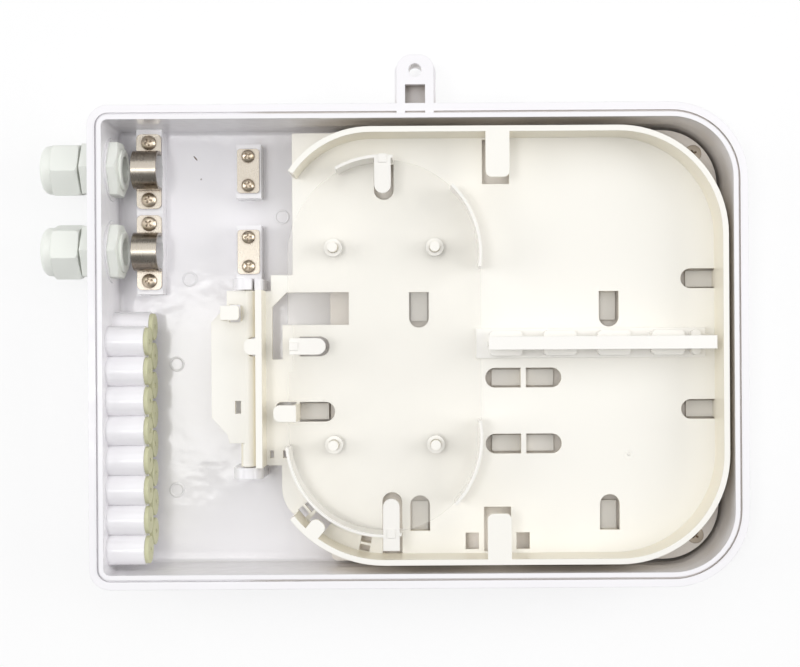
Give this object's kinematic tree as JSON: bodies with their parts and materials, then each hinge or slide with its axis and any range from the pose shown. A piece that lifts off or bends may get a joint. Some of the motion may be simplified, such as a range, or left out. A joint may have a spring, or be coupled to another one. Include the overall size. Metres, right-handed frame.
{
  "type": "fibre termination box",
  "caption": "Open wall-mount fibre termination box: shallow moulded housing with cable glands, clamps, plugged drop ports and a hinged splice tray with a clear winding tray.",
  "frame": {"origin": "centre of the housing's back face, under the middle of the rim opening", "axes": "+X along the box away from the cable entries, +Y across the box towards the locking lug, +Z out of the opening"},
  "size_m": [0.3448, 0.2579, 0.04],
  "materials": {
    "housing_plastic": "cool white moulded plastic, slightly glossy",
    "gland_plastic": "pale grey-green nylon",
    "black_rubber": "grey rubber seal",
    "plug_rubber": "pale yellow-green rubber",
    "plated_steel": "nickel-plated strip",
    "screw_steel": "warm nickel-plated screw",
    "deck_plastic": "white moulded plastic",
    "tray_plastic": "ivory moulded plastic",
    "clear_plastic": "frosted clear plastic",
    "bar_plastic": "white moulded plastic"
  },
  "bodies": {
    "base": {"base_housing": "housing_plastic", "gland_body_1": "gland_plastic", "gland_gasket_1": "black_rubber", "gland_locknut_1": "gland_plastic", "gland_seal_1": "black_rubber", "cable_saddle_1": "plated_steel", "strength_plate_1": "plated_steel", "gland_body_2": "gland_plastic", "gland_gasket_2": "black_rubber", "gland_locknut_2": "gland_plastic", "gland_seal_2": "black_rubber", "cable_saddle_2": "plated_steel", "strength_plate_2": "plated_steel", "saddle_screw_1": "screw_steel", "plate_screw_1": "screw_steel", "deck_screw_1": "screw_steel", "saddle_screw_2": "screw_steel", "plate_screw_2": "screw_steel", "deck_screw_2": "screw_steel", "saddle_screw_3": "screw_steel", "plate_screw_3": "screw_steel", "deck_screw_3": "screw_steel", "saddle_screw_4": "screw_steel", "plate_screw_4": "screw_steel", "deck_screw_4": "screw_steel", "port_plug_01": "plug_rubber", "port_plug_02": "plug_rubber", "port_plug_03": "plug_rubber", "port_plug_04": "plug_rubber", "port_plug_05": "plug_rubber", "port_plug_06": "plug_rubber", "port_plug_07": "plug_rubber", "port_plug_08": "plug_rubber", "port_plug_09": "plug_rubber", "port_plug_10": "plug_rubber", "port_plug_11": "plug_rubber", "port_plug_12": "plug_rubber", "port_plug_13": "plug_rubber", "port_plug_14": "plug_rubber", "port_plug_15": "plug_rubber", "port_plug_16": "plug_rubber", "lower_deck": "deck_plastic"},
    "tray": {"splice_tray": "tray_plastic", "winding_tray": "clear_plastic", "splice_bar": "bar_plastic"},
    "entry_cap_1": {"gland_cap_1": "gland_plastic"},
    "entry_cap_2": {"gland_cap_2": "gland_plastic"}
  },
  "joints": [
    {"name": "tray_swing", "type": "hinge", "parent": "base", "child": "tray", "pos_m": [-0.0842, -0.0157, 0.0228], "axis": [0, -1, 0], "range_deg": [0, 90]},
    {"name": "entry_cap_1_turn", "type": "hinge", "parent": "base", "child": "entry_cap_1", "pos_m": [-0.175, 0.0882, 0.02], "axis": [1, 0, 0], "range_deg": [0, 360]},
    {"name": "entry_cap_2_turn", "type": "hinge", "parent": "base", "child": "entry_cap_2", "pos_m": [-0.175, 0.0476, 0.02], "axis": [1, 0, 0], "range_deg": [0, 360]}
  ]
}
